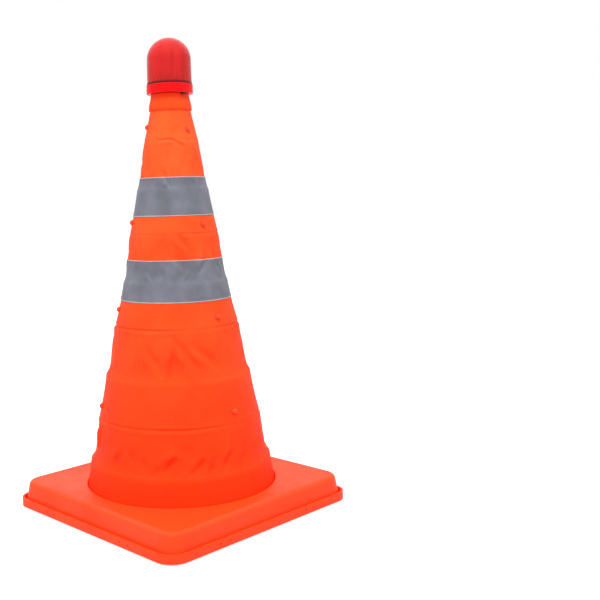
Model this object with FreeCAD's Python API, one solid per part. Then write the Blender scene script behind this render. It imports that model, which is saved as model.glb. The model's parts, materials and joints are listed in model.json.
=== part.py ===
"""A pop-up traffic cone: coated fabric over five nested plastic hoops, on a square
base with a raised lip, with a battery lamp under a screw-on red lens at the top.

Millimetres, +Z up. The origin is the middle of the square base, on the ground.
The sides of the base run along X and Y. The cone is modelled standing up; the
hoops B to E drop inside one another, until each hoop's lower edge is level with
hoop A's.
"""
import FreeCAD, Part
import math
import os

from FreeCAD import Vector

os.makedirs("parts", exist_ok=True)

# Base
BASE_SIDE = 220.0
BASE_CORNER_R = 17.0
TRAY_BOTTOM_Z = 1.0
TRAY_FLOOR = 2.2
TRAY_TOP_Z = TRAY_BOTTOM_Z + TRAY_FLOOR
LIP_TOP_Z = 8.2
LIP_WALL = 1.8
DRAIN_HOLE_R = 0.9
DRAIN_HOLE_Z = 5.0
DRAIN_HOLE_OFFSETS = (47.0, 57.0)
COVER_TOP_Z = 23.2
COVER_WALL = 2.4
COVER_HALF_BOTTOM = 106.6
COVER_HALF_TOP = 104.4
COVER_CORNER_R = 14.5
COVER_CORNER_TOP_R = 16.0
COVER_EDGE_R = 4.5
COVER_HOLE_R = 86.1
SKIRT_INNER_R = 89.8
SKIRT_WALL = 2.0
RIB_WALL = 1.6
SCREW_OFFSET = 88.0
PAD_R = 8.0
PAD_TOP_Z = 5.0
BOSS_R = 4.0
SCREW_R = 1.4
SCREW_HOLE_R = 1.7
SCREW_PILOT_R = 1.45
SCREW_HEAD_R = 2.9
SCREW_SEAT_R = 3.2
SCREW_SEAT_Z = 3.4
SCREW_TOP_Z = 15.0
SCREW_PILOT_TOP_Z = 17.0
RECESS_LENGTH = 3.2
RECESS_WIDTH = 0.8
FOOT_R = 9.0
FOOT_HEIGHT = 1.6

# Fabric and hoops. Each hoop: lower edge z, upper edge z, the radius of the
# fabric's outer face at each, and the heights of its three rivets. Hoop E also
# narrows quickly up to a waist, given as (radius, z).
FABRIC = 0.6
FABRIC_GAP = 0.2
HOOP_WALL = 1.4
BEAD = 0.7
BEAD_HEIGHT = 3.0
JOIN_GAP = 0.4
HOOPS = {
    "a": dict(z0=5.6, z1=45.0, r0=88.1, r1=82.2),
    "b": dict(z0=86.0, z1=122.0, r0=73.1, r1=66.1, rivets=(94.7, 94.9, 94.9)),
    "c": dict(z0=168.2, z1=205.3, r0=56.0, r1=47.4, rivets=(175.5, 181.5, 181.5)),
    "d": dict(z0=250.4, z1=288.3, r0=40.1, r1=32.2, rivets=(256.9, 259.5, 259.5)),
    "e": dict(z0=334.2, z1=373.9, r0=24.2, r1=17.2, rivets=(341.4, 345.0, 345.0), waist=(18.9, 356.5)),
}
FOOT_FLANGE_R = 92.5
FOOT_FLANGE_TOP_Z = 5.2
RIVET_ANGLES = (-90.0, 30.0, 150.0)
RIVET_HEAD_R = 2.6
RIVET_HEAD_HEIGHT = 2.3
RIVET_SHANK_R = 1.2
RIVET_HOLE_R = 1.35
WASHER_R = 2.7
WASHER_THICK = 1.0

# Reflective bands: lower edge z, upper edge z, and the hoop that each starts on.
BAND_THICK = 0.3
BAND_CLEAR = 0.05
BANDS = {
    "lower_band": dict(z0=189.9, z1=226.1, hoop="c", next_hoop="d"),
    "upper_band": dict(z0=264.9, z1=299.2, hoop="d", next_hoop="e"),
}

# Lamp. Its heights follow the collar's lower face.
COLLAR_BOTTOM_Z = 374.9
COLLAR_FLOOR_TOP_Z = COLLAR_BOTTOM_Z + 2.2
COLLAR_TOP_Z = COLLAR_BOTTOM_Z + 8.3
COLLAR_R = 21.1
COLLAR_WALL = 1.6
TUBE_R = 13.1
TUBE_INNER_R = 12.0
TUBE_BOTTOM_Z = COLLAR_BOTTOM_Z - 35.5
TUBE_FLOOR = 1.2
LIP_HOLE_R = 13.5
LIP_Z0 = COLLAR_BOTTOM_Z - 6.0
LIP_Z1 = COLLAR_BOTTOM_Z - 3.0
NUT_R = 15.0
NUT_INNER_R = 13.2
NUT_Z0 = LIP_Z0 - 6.0
NUT_FLATS = 6
GASKET_R = 20.8
GASKET_INNER_R = 19.5
GASKET_Z0 = COLLAR_TOP_Z + 0.05
GASKET_Z1 = GASKET_Z0 + 0.7
LENS_R_LOW = 20.3
LENS_R_HIGH = 20.0
LENS_WALL = 1.8
LENS_BOTTOM_Z = GASKET_Z1 + 0.05
LENS_SPRING_Z = 406.0
LENS_TOP_Z = LENS_SPRING_Z + LENS_R_HIGH
LENS_SKIRT_R = 19.2
LENS_SKIRT_WALL = 1.5
LENS_SKIRT_Z = LENS_BOTTOM_Z - 3.3
HOLDER_R = 11.8
HOLDER_BOTTOM_Z = TUBE_BOTTOM_Z + 1.9
HOLDER_TOP_Z = COLLAR_BOTTOM_Z + 14.0
HEAD_R = 14.0
HEAD_Z0 = COLLAR_FLOOR_TOP_Z + 0.2
CELL_R = 5.2
CELL_BORE_R = 5.45
CELL_OFFSET = 5.7
CELL_EDGE_R = 0.5
CELL_NIPPLE_R = 1.9
CELL_Z0 = HOLDER_BOTTOM_Z + 2.5
CELL_Z1 = HOLDER_TOP_Z - 1.7
CELL_TOP_Z = CELL_Z1 + 1.0
SPRING_R = 3.6
SPRING_WIRE = 0.5
SPRING_TURNS = 6
SPRING_RISE = 0.43
SPRING_STEP_IN = 0.25
SPRING_Z0 = HOLDER_BOTTOM_Z - 0.2
CONTACT_R = 3.2
CONTACT_THICK = 0.4
BRIDGE_LENGTH = 16.8
BRIDGE_WIDTH = 5.0
BOARD_R = 12.4
BOARD_Z0 = HOLDER_TOP_Z + 0.5
BOARD_Z1 = BOARD_Z0 + 1.4
BOARD_SCREW_R = 0.9
BOARD_SCREW_HEAD_R = 1.8
BOARD_SCREW_Y = 10.0
BOARD_SCREW_Z0 = HOLDER_TOP_Z - 4.0
LED_R = 2.5
LED_Z1 = BOARD_Z1 + 8.6
SWITCH_ANGLE = -90.0
SWITCH_R0 = 15.6
SWITCH_DEPTH = 3.4
SWITCH_WIDTH = 6.0
SWITCH_LEG_Y = 2.7
SWITCH_Z0 = COLLAR_FLOOR_TOP_Z + 1.4
SWITCH_Z1 = SWITCH_Z0 + 1.9
WIRE_R = 0.4
WIRE_Y = 1.4
WIRE_BEND = 2.0
WIRE_FOOT_R = 16.2
BUTTON_WIDTH = 4.6
BUTTON_R0 = 17.5
BUTTON_R1 = 20.1
BUTTON_Z0 = COLLAR_BOTTOM_Z - 1.5
BUTTON_Z1 = COLLAR_FLOOR_TOP_Z + 0.05
BUTTON_EAR = 0.4
BUTTON_EAR_OUT = 0.8
BUTTON_CLEAR = 0.3
SLOT_HEIGHT = 4.6

UP = Vector(0, 0, 1)


def save(name, shape):
    """Writes one piece, or one group of like pieces, as parts/NAME.step."""
    shape = shape.removeSplitter()
    if not shape.isValid() or not shape.Solids:
        raise RuntimeError(f"{name} isn't a valid solid")
    shape.exportStep(f"parts/{name}.step")
    print(f"{name}: {len(shape.Solids)} solid(s), {shape.Volume / 1000:.2f} cm3")


def cylinder(radius, z0, z1, x=0.0, y=0.0):
    """An upright cylinder from z0 to z1."""
    return Part.makeCylinder(radius, z1 - z0, Vector(x, y, z0), UP)


def tube(outer, inner, z0, z1, x=0.0, y=0.0):
    """An upright tube from z0 to z1."""
    return cylinder(outer, z0, z1, x, y).cut(cylinder(inner, z0 - 1, z1 + 1, x, y))


def turned(points):
    """A solid turned about Z from a closed outline of (radius, z) points."""
    corners = [Vector(r, 0, z) for r, z in points]
    outline = Part.makePolygon(corners + corners[:1])
    return Part.Face(outline).revolve(Vector(0, 0, 0), UP, 360)


def rounded_square(half, corner, z):
    """A closed wire: a square of the given half side with round corners."""
    flat = half - corner
    edges = []
    for k in range(4):
        turn = FreeCAD.Rotation(UP, 90.0 * k)
        low = turn.multVec(Vector(half, -flat, z))
        high = turn.multVec(Vector(half, flat, z))
        edges.append(Part.LineSegment(low, high).toShape())
        mid_xy = flat + corner / math.sqrt(2)
        middle = turn.multVec(Vector(mid_xy, mid_xy, z))
        end = turn.multVec(Vector(flat, half, z))
        edges.append(Part.Arc(high, middle, end).toShape())
    return Part.Wire(edges)


def square_block(half0, corner0, z0, half1, corner1, z1):
    """A solid between two rounded squares at different heights."""
    wires = [rounded_square(half0, corner0, z0), rounded_square(half1, corner1, z1)]
    return Part.makeLoft(wires, True, True)


def around(shape, angle):
    """A copy of a shape turned about Z by an angle in degrees."""
    return shape.rotated(Vector(0, 0, 0), UP, angle)


def corners(offset):
    """The four places of what stands near the corners of the base."""
    return [(sx * offset, sy * offset) for sx in (-1, 1) for sy in (-1, 1)]


def line_radius(points, z):
    """The radius at height z on a rising run of straight (radius, z) lines."""
    for low, high in zip(points, points[1:]):
        if z <= high[1] or high is points[-1]:
            share = (z - low[1]) / (high[1] - low[1])
            return low[0] + share * (high[0] - low[0])


def fabric_line(hoop):
    """The (radius, z) points of the fabric's outer face on a hoop, going up."""
    size = HOOPS[hoop]
    waist = [size["waist"]] if "waist" in size else []
    return [(size["r0"], size["z0"])] + waist + [(size["r1"], size["z1"])]


def skin(points, outward, thick):
    """A thin turned shell beside a rising run of points: its inner face is outward
    from them, and it is as thick as given."""
    inner = [(r + outward, z) for r, z in points]
    outer = [(r + outward + thick, z) for r, z in reversed(points)]
    return turned(inner + outer)


def base_tray():
    """The tray: a floor, an upright lip, pads for the screws and foot pockets."""
    half = BASE_SIDE / 2
    inner_half = half - LIP_WALL
    inner_corner = BASE_CORNER_R - LIP_WALL
    block = square_block(
        half, BASE_CORNER_R, TRAY_BOTTOM_Z, half, BASE_CORNER_R, LIP_TOP_Z
    )
    hollow = square_block(
        inner_half, inner_corner, TRAY_TOP_Z, inner_half, inner_corner, LIP_TOP_Z + 1
    )
    tray = block.cut(hollow)
    tray = tray.fuse(tube(FOOT_FLANGE_R + 2.0, FOOT_FLANGE_R + 0.4, TRAY_TOP_Z - 0.2, 5.4))
    for x, y in corners(SCREW_OFFSET):
        tray = tray.fuse(cylinder(PAD_R, TRAY_TOP_Z - 0.2, PAD_TOP_Z, x, y))
    for x, y in corners(SCREW_OFFSET):
        tray = tray.cut(cylinder(FOOT_R + 0.2, TRAY_BOTTOM_Z - 1, FOOT_HEIGHT, x, y))
        tray = tray.cut(cylinder(SCREW_SEAT_R, FOOT_HEIGHT - 1, SCREW_SEAT_Z, x, y))
        tray = tray.cut(cylinder(SCREW_HOLE_R, FOOT_HEIGHT, PAD_TOP_Z + 1, x, y))
    for side in range(4):
        for offset in DRAIN_HOLE_OFFSETS:
            for y in (-offset, offset):
                start = Vector(half - 4, y, DRAIN_HOLE_Z)
                hole = Part.makeCylinder(DRAIN_HOLE_R, 8, start, Vector(1, 0, 0))
                tray = tray.cut(around(hole, 90 * side))
    return tray


def base_cover():
    """The cover: a drafted shell with a round opening, a skirt that clamps the
    lowest hoop, four screw bosses and stiffening ribs."""
    outer = square_block(
        COVER_HALF_BOTTOM, COVER_CORNER_R, TRAY_TOP_Z, COVER_HALF_TOP, COVER_CORNER_TOP_R, COVER_TOP_Z
    )
    top_edges = [e for e in outer.Edges if e.BoundBox.ZMin > COVER_TOP_Z - 0.01]
    outer = outer.makeFillet(COVER_EDGE_R, top_edges)
    inner_z = COVER_TOP_Z - COVER_WALL
    inner = square_block(
        COVER_HALF_BOTTOM - COVER_WALL, COVER_CORNER_R - COVER_WALL, TRAY_TOP_Z - 1,
        COVER_HALF_TOP - COVER_WALL, COVER_CORNER_TOP_R - COVER_WALL, inner_z,
    )
    cover = outer.cut(inner)
    ribs = []
    for k in range(8):
        length = COVER_HALF_TOP - COVER_WALL - SKIRT_INNER_R - 1.0
        if k % 2:
            length = (SCREW_OFFSET * math.sqrt(2) - BOSS_R) - SKIRT_INNER_R
        rib = Part.makeBox(
            length + 1.5, RIB_WALL, inner_z - 10.0 + 0.5,
            Vector(SKIRT_INNER_R + 1.0, -RIB_WALL / 2, 10.0),
        )
        ribs.append(around(rib, 45 * k))
    inside = [tube(SKIRT_INNER_R + SKIRT_WALL, SKIRT_INNER_R, FOOT_FLANGE_TOP_Z, inner_z + 0.5)] + ribs
    inside += [cylinder(BOSS_R, PAD_TOP_Z + 0.1, inner_z + 0.5, x, y) for x, y in corners(SCREW_OFFSET)]
    cover = cover.fuse(inside)
    cover = cover.cut(cylinder(COVER_HOLE_R, inner_z - 0.5, COVER_TOP_Z + 1))
    for x, y in corners(SCREW_OFFSET):
        cover = cover.cut(cylinder(SCREW_PILOT_R, PAD_TOP_Z - 1, SCREW_PILOT_TOP_Z, x, y))
    rim = [
        e for e in cover.Edges
        if abs(e.BoundBox.ZMin - COVER_TOP_Z) < 0.01 and abs(e.BoundBox.XLength - 2 * COVER_HOLE_R) < 0.1
    ]
    return cover.makeFillet(1.2, rim)


def base_screws():
    """Four screws that hold the cover to the tray from beneath."""
    screws = []
    for x, y in corners(SCREW_OFFSET):
        head = cylinder(SCREW_HEAD_R, FOOT_HEIGHT + 0.3, SCREW_SEAT_Z, x, y)
        for along, across in ((RECESS_LENGTH, RECESS_WIDTH), (RECESS_WIDTH, RECESS_LENGTH)):
            start = Vector(x - along / 2, y - across / 2, FOOT_HEIGHT)
            head = head.cut(Part.makeBox(along, across, 1.0, start))
        screws.append(head.fuse(cylinder(SCREW_R, SCREW_SEAT_Z - 0.4, SCREW_TOP_Z, x, y)))
    return Part.makeCompound(screws)


def base_feet():
    """Four rubber feet that cover the screws."""
    feet = []
    for x, y in corners(SCREW_OFFSET):
        foot = cylinder(FOOT_R, 0.0, FOOT_HEIGHT, x, y)
        edge = [e for e in foot.Edges if e.BoundBox.ZMax < 0.01]
        feet.append(foot.makeFillet(0.5, edge))
    return Part.makeCompound(feet)


def rivet_holes(hoop):
    """Radial cylinders that cut the rivet holes of a hoop."""
    size = HOOPS[hoop]
    holes = []
    for angle, z in zip(RIVET_ANGLES, size["rivets"]):
        hole = Part.makeCylinder(RIVET_HOLE_R, 30.0, Vector(size["r1"] - 12.0, 0, z), Vector(1, 0, 0))
        holes.append(around(hole, angle))
    return holes


def hoop_body(hoop):
    """A hoop: a slightly conical band with an inward bead at its lower edge. Hoop A
    also has an outward foot, and hoop E an inward lip for the lamp."""
    line = [(r - FABRIC - FABRIC_GAP, z) for r, z in fabric_line(hoop)]
    if hoop == "a":
        line[0] = (line_radius(line, TRAY_TOP_Z), TRAY_TOP_Z)
    z0, z1 = line[0][1], line[-1][1]

    def inner(z, bead=0.0):
        """A point of the inner face at height z, further in by a bead."""
        return (line_radius(line, z) - HOOP_WALL - bead, z)

    upper_rim = [inner(z1)]
    if hoop == "e":
        waist_z = HOOPS["e"]["waist"][1]
        lip = [(LIP_HOLE_R, LIP_Z1), (LIP_HOLE_R, LIP_Z0)]
        upper_rim = [inner(z1), inner(LIP_Z1)] + lip + [inner(LIP_Z0), inner(waist_z)]
    bead_z = z0 + BEAD_HEIGHT
    lower_rim = [inner(bead_z + BEAD), inner(bead_z, BEAD), inner(z0, BEAD)]
    body = turned(line + upper_rim + lower_rim)
    if hoop == "a":
        foot_inner = line[0][0] - HOOP_WALL / 2
        return body.fuse(tube(FOOT_FLANGE_R, foot_inner, TRAY_TOP_Z, FOOT_FLANGE_TOP_Z))
    return body.cut(rivet_holes(hoop))


def hoop_cloth(hoop):
    """The fabric that lies on a hoop, with holes where the rivets pass."""
    cloth = skin(fabric_line(hoop), -FABRIC, FABRIC)
    return cloth.cut(rivet_holes(hoop)) if "rivets" in HOOPS[hoop] else cloth


def gap_cloth(lower, upper):
    """The free fabric between one hoop's upper edge and the next one's lower."""
    top_r, top_z = fabric_line(upper)[0]
    return skin([fabric_line(lower)[-1], (top_r, top_z - JOIN_GAP)], -FABRIC, FABRIC)


def rivets(hoop):
    """Three domed plastic rivets through the fabric and the hoop."""
    line = fabric_line(hoop)
    out = Vector(1, 0, 0)
    filled = turned([(0, line[0][1])] + line + [(0, line[-1][1])])
    ball_r = (RIVET_HEAD_R**2 + RIVET_HEAD_HEIGHT**2) / (2 * RIVET_HEAD_HEIGHT)
    made = []
    for angle, z in zip(RIVET_ANGLES, HOOPS[hoop]["rivets"]):
        r = line_radius(line, z)
        ball = Part.makeSphere(ball_r, Vector(r + RIVET_HEAD_HEIGHT - ball_r, 0, z))
        block = Part.makeCylinder(RIVET_HEAD_R, 8, Vector(r - 2, 0, z), out)
        skirt = Part.makeCylinder(RIVET_HEAD_R, 0.9, Vector(r - 0.6, 0, z), out)
        head = ball.common(block).fuse(skirt).cut(filled)
        tail = r - FABRIC - FABRIC_GAP - HOOP_WALL - WASHER_THICK - 0.6
        shank = Part.makeCylinder(RIVET_SHANK_R, r + 1.0 - tail, Vector(tail, 0, z), out)
        made.append(around(head.fuse(shank), angle))
    return Part.makeCompound(made)


def rivet_washers(hoop):
    """The three washers that lock the rivets inside a hoop."""
    line = fabric_line(hoop)
    slope = (line[1][0] - line[0][0]) / (line[1][1] - line[0][1])
    out = Vector(1, 0, 0)
    washers = []
    for angle, z in zip(RIVET_ANGLES, HOOPS[hoop]["rivets"]):
        inner = line_radius(line, z) - FABRIC - FABRIC_GAP - HOOP_WALL
        sagitta = inner - math.sqrt(inner**2 - WASHER_R**2)
        start = inner - WASHER_THICK - sagitta - abs(slope) * WASHER_R - 0.05
        disc = Part.makeCylinder(WASHER_R, WASHER_THICK, Vector(start, 0, z), out)
        disc = disc.cut(Part.makeCylinder(RIVET_SHANK_R + 0.05, 9, Vector(start - 4, 0, z), out))
        washers.append(around(disc, angle))
    return Part.makeCompound(washers)


def band_on_hoop(band):
    """The part of a reflective band that is sewn over its hoop."""
    size = BANDS[band]
    line = fabric_line(size["hoop"])
    start = (line_radius(line, size["z0"]), size["z0"])
    return skin([start, line[-1]], BAND_CLEAR, BAND_THICK)


def band_above_hoop(band):
    """The part of a reflective band that is sewn to the free fabric above."""
    size = BANDS[band]
    gap = [fabric_line(size["hoop"])[-1], fabric_line(size["next_hoop"])[0]]
    return skin([gap[0], (line_radius(gap, size["z1"]), size["z1"])], BAND_CLEAR, BAND_THICK)


def lamp_base():
    """The lamp's red housing: a collar that the lens screws into, its floor, and
    a battery tube that passes down through hoop E's lip."""
    housing = turned([
        (TUBE_INNER_R, TUBE_BOTTOM_Z + TUBE_FLOOR),
        (0, TUBE_BOTTOM_Z + TUBE_FLOOR),
        (0, TUBE_BOTTOM_Z),
        (TUBE_R, TUBE_BOTTOM_Z),
        (TUBE_R, COLLAR_BOTTOM_Z),
        (COLLAR_R - 0.5, COLLAR_BOTTOM_Z),
        (COLLAR_R, COLLAR_BOTTOM_Z + 0.5),
        (COLLAR_R, COLLAR_TOP_Z - 0.3),
        (COLLAR_R - 0.3, COLLAR_TOP_Z),
        (COLLAR_R - COLLAR_WALL, COLLAR_TOP_Z),
        (COLLAR_R - COLLAR_WALL, COLLAR_FLOOR_TOP_Z),
        (TUBE_INNER_R, COLLAR_FLOOR_TOP_Z),
    ])
    slot = Part.makeBox(
        BUTTON_R1 - BUTTON_R0 + 2 * BUTTON_CLEAR, BUTTON_WIDTH + 2 * BUTTON_CLEAR, SLOT_HEIGHT,
        Vector(BUTTON_R0 - BUTTON_CLEAR, -BUTTON_WIDTH / 2 - BUTTON_CLEAR, COLLAR_BOTTOM_Z - 1),
    )
    return housing.cut(around(slot, SWITCH_ANGLE))


def lamp_nut():
    """The ring nut that clamps the lamp to hoop E's lip, with six grip flats."""
    nut = tube(NUT_R, NUT_INNER_R, NUT_Z0, LIP_Z0)
    for k in range(NUT_FLATS):
        notch = Part.makeBox(2.0, 3.0, LIP_Z0 - NUT_Z0 - 2, Vector(NUT_R - 0.7, -1.5, NUT_Z0 - 1))
        nut = nut.cut(around(notch, 360 / NUT_FLATS * k))
    return nut


def battery_holder():
    """The black holder: two bores for the cells, and a wider head in the lens."""
    holder = cylinder(HOLDER_R, HOLDER_BOTTOM_Z, HEAD_Z0 + 0.5)
    holder = holder.fuse(cylinder(HEAD_R, HEAD_Z0, HOLDER_TOP_Z))
    for side in (-1, 1):
        over = HOLDER_TOP_Z + 1
        bore = cylinder(CELL_BORE_R, HOLDER_BOTTOM_Z - 1, over, side * CELL_OFFSET)
        pilot = cylinder(BOARD_SCREW_R + 0.1, BOARD_SCREW_Z0 - 0.5, over, 0, side * BOARD_SCREW_Y)
        holder = holder.cut(bore).cut(pilot)
    return holder


def batteries():
    """Two AAA cells, each with its raised end upwards."""
    cells = []
    for side in (-1, 1):
        cell = cylinder(CELL_R, CELL_Z0, CELL_Z1, side * CELL_OFFSET)
        rims = [e for e in cell.Edges if e.BoundBox.ZLength < 0.01]
        nipple = cylinder(CELL_NIPPLE_R, CELL_Z1 - 0.5, CELL_TOP_Z, side * CELL_OFFSET)
        cells.append(cell.makeFillet(CELL_EDGE_R, rims).fuse(nipple))
    return Part.makeCompound(cells)


def battery_springs():
    """Two contact springs under the cells, each a wire of touching level turns."""
    springs = []
    for side in (-1, 1):
        x = side * CELL_OFFSET
        spring = cylinder(SPRING_R, SPRING_Z0, SPRING_Z0 + SPRING_WIRE, x)
        for turn in range(1, SPRING_TURNS):
            z = SPRING_Z0 + turn * SPRING_RISE
            outer = SPRING_R - SPRING_STEP_IN * turn
            spring = spring.fuse(tube(outer, outer - 2 * SPRING_WIRE, z, z + SPRING_WIRE, x))
        springs.append(spring)
    return Part.makeCompound(springs)


def contact_plates():
    """The metal strips that join the cells: one below and two above."""
    low_z = TUBE_BOTTOM_Z + TUBE_FLOOR + 0.1
    start = Vector(-BRIDGE_LENGTH / 2, -BRIDGE_WIDTH / 2, low_z)
    plates = [Part.makeBox(BRIDGE_LENGTH, BRIDGE_WIDTH, CONTACT_THICK, start)]
    high_z = CELL_TOP_Z + 0.05
    for side in (-1, 1):
        plates.append(cylinder(CONTACT_R, high_z, high_z + CONTACT_THICK, side * CELL_OFFSET))
    return Part.makeCompound(plates)


def circuit_board():
    """The round board on top of the battery holder, with its flasher chip."""
    board = cylinder(BOARD_R, BOARD_Z0, BOARD_Z1)
    chip = Part.makeBox(4.0, 3.0, 1.2, Vector(-9.0, -1.5, BOARD_Z1 - 0.1))
    board = board.fuse(chip)
    for side in (-1, 1):
        board = board.cut(cylinder(1.1, BOARD_Z0 - 1, BOARD_Z1 + 1, 0, side * BOARD_SCREW_Y))
    return board


def board_screws():
    """Two screws that hold the board to the battery holder."""
    screws = []
    for side in (-1, 1):
        head = cylinder(BOARD_SCREW_HEAD_R, BOARD_Z1 + 0.05, BOARD_Z1 + 1.2, 0, side * BOARD_SCREW_Y)
        slot = Part.makeBox(
            2 * BOARD_SCREW_HEAD_R + 0.2, 0.5, 1.0,
            Vector(-BOARD_SCREW_HEAD_R - 0.1, side * BOARD_SCREW_Y - 0.25, BOARD_Z1 + 0.7),
        )
        shank = cylinder(BOARD_SCREW_R, BOARD_SCREW_Z0, BOARD_Z1 + 0.3, 0, side * BOARD_SCREW_Y)
        screws.append(head.cut(slot).fuse(shank))
    return Part.makeCompound(screws)


def led():
    """The light-emitting diode that stands on the board."""
    rim = cylinder(LED_R + 0.4, BOARD_Z1 + 0.05, BOARD_Z1 + 1.05)
    body = cylinder(LED_R, BOARD_Z1 + 0.05, LED_Z1 - LED_R)
    return rim.fuse(body).fuse(Part.makeSphere(LED_R, Vector(0, 0, LED_Z1 - LED_R)))


def switch_body():
    """The push switch on the collar's floor, over the button."""
    block = Part.makeBox(
        SWITCH_DEPTH, SWITCH_WIDTH, SWITCH_Z1 - SWITCH_Z0, Vector(SWITCH_R0, -SWITCH_WIDTH / 2, SWITCH_Z0)
    )
    leg_height = SWITCH_Z0 - COLLAR_FLOOR_TOP_Z + 0.2
    legs = [
        Part.makeBox(1.2, 0.6, leg_height, Vector(SWITCH_R0, y - 0.3, COLLAR_FLOOR_TOP_Z))
        for y in (-SWITCH_LEG_Y, SWITCH_LEG_Y)
    ]
    return around(block.fuse(legs), SWITCH_ANGLE)


def switch_wires():
    """Two short wires from the switch up and over to the board."""
    wires = []
    top_z = (BOARD_Z0 + BOARD_Z1) / 2
    inset = WIRE_BEND * (1 - math.sqrt(0.5))
    for y in (-WIRE_Y, WIRE_Y):
        foot = Vector(WIRE_FOOT_R, y, SWITCH_Z1)
        turn_start = Vector(WIRE_FOOT_R, y, top_z - WIRE_BEND)
        turn_mid = Vector(WIRE_FOOT_R - inset, y, top_z - inset)
        turn_end = Vector(WIRE_FOOT_R - WIRE_BEND, y, top_z)
        end = Vector(BOARD_R + 0.02, y, top_z)
        path = Part.Wire([
            Part.LineSegment(foot, turn_start).toShape(),
            Part.Arc(turn_start, turn_mid, turn_end).toShape(),
            Part.LineSegment(turn_end, end).toShape(),
        ])
        profile = Part.Wire([Part.Circle(foot, UP, WIRE_R).toShape()])
        wires.append(path.makePipeShell([profile], True, False))
    return around(Part.makeCompound(wires), SWITCH_ANGLE)


def switch_button():
    """The black button under the collar, with two ears that keep it in."""
    head = Part.makeBox(
        BUTTON_R1 - BUTTON_R0, BUTTON_WIDTH, BUTTON_Z1 - BUTTON_Z0,
        Vector(BUTTON_R0, -BUTTON_WIDTH / 2, BUTTON_Z0),
    )
    low_edges = [e for e in head.Edges if e.BoundBox.ZMax < BUTTON_Z0 + 0.01]
    head = head.makeFillet(0.4, low_edges)
    ears = Part.makeBox(
        1.6, BUTTON_WIDTH + 2 * BUTTON_EAR_OUT, BUTTON_EAR,
        Vector(BUTTON_R0 + 0.1, -BUTTON_WIDTH / 2 - BUTTON_EAR_OUT, BUTTON_Z1),
    )
    return around(head.fuse(ears), SWITCH_ANGLE)


def lens():
    """The red lens: a round-topped shell with a short threaded skirt."""
    skirt_inner = LENS_SKIRT_R - LENS_SKIRT_WALL
    inner_r = LENS_R_HIGH - LENS_WALL

    def shell(radius_low, radius_high, z_low, top):
        """A solid of the outer or inner form, from z_low to the crown."""
        side = Part.LineSegment(Vector(radius_low, 0, z_low), Vector(radius_high, 0, LENS_SPRING_Z))
        rise = top - LENS_SPRING_Z
        diagonal = math.sqrt(0.5)
        middle = Vector(radius_high * diagonal, 0, LENS_SPRING_Z + rise * diagonal)
        crown = Part.Arc(Vector(radius_high, 0, LENS_SPRING_Z), middle, Vector(0, 0, top))
        axis = Part.LineSegment(Vector(0, 0, top), Vector(0, 0, z_low))
        foot = Part.LineSegment(Vector(0, 0, z_low), Vector(radius_low, 0, z_low))
        outline = Part.Wire([c.toShape() for c in (side, crown, axis, foot)])
        return Part.Face(outline).revolve(Vector(0, 0, 0), UP, 360)

    outer = shell(LENS_R_LOW, LENS_R_HIGH, LENS_BOTTOM_Z, LENS_TOP_Z)
    inner = shell(skirt_inner, inner_r, LENS_SKIRT_Z - 1, LENS_TOP_Z - LENS_WALL)
    skirt = cylinder(LENS_SKIRT_R, LENS_SKIRT_Z, LENS_BOTTOM_Z + 0.5)
    return outer.fuse(skirt).cut(inner)


def lens_gasket():
    """The rubber seal between the lens and the collar."""
    return tube(GASKET_R, GASKET_INNER_R, GASKET_Z0, GASKET_Z1)


save("base_tray", base_tray())
save("base_cover", base_cover())
save("base_screws", base_screws())
save("base_feet", base_feet())
for letter in HOOPS:
    save(f"ring_{letter}", hoop_body(letter))
    save(f"cloth_ring_{letter}", hoop_cloth(letter))
for letter in "bcde":
    save(f"rivets_{letter}", rivets(letter))
    save(f"rivet_washers_{letter}", rivet_washers(letter))
for pair in ("ab", "bc", "cd", "de"):
    save(f"cloth_gap_{pair}", gap_cloth(*pair))
for band_name in BANDS:
    save(f"{band_name}_on_ring", band_on_hoop(band_name))
    save(f"{band_name}_above", band_above_hoop(band_name))
save("lamp_base", lamp_base())
save("lamp_nut", lamp_nut())
save("battery_holder", battery_holder())
save("batteries", batteries())
save("battery_springs", battery_springs())
save("contact_plates", contact_plates())
save("circuit_board", circuit_board())
save("board_screws", board_screws())
save("led", led())
save("switch_body", switch_body())
save("switch_wires", switch_wires())
save("switch_button", switch_button())
save("lens", lens())
save("lens_gasket", lens_gasket())
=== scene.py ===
"""The looks of a collapsible traffic cone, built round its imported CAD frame.

The cone is a sewn sleeve of coated fabric over five hoops, on a square moulded
base, with two grey reflective bands and a red lamp at the tip. Each sub-assembly
is a class that holds its sizes, builds its meshes and dresses them. Lengths are
in metres, in the frame of the CAD model: +Z up, the origin under the base.
"""
import json
import logging
import math
from dataclasses import dataclass
from enum import Enum
from functools import partial
from typing import Callable, Iterator, Sequence

import bpy
import numpy as np
from mathutils import Matrix, Vector


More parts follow.
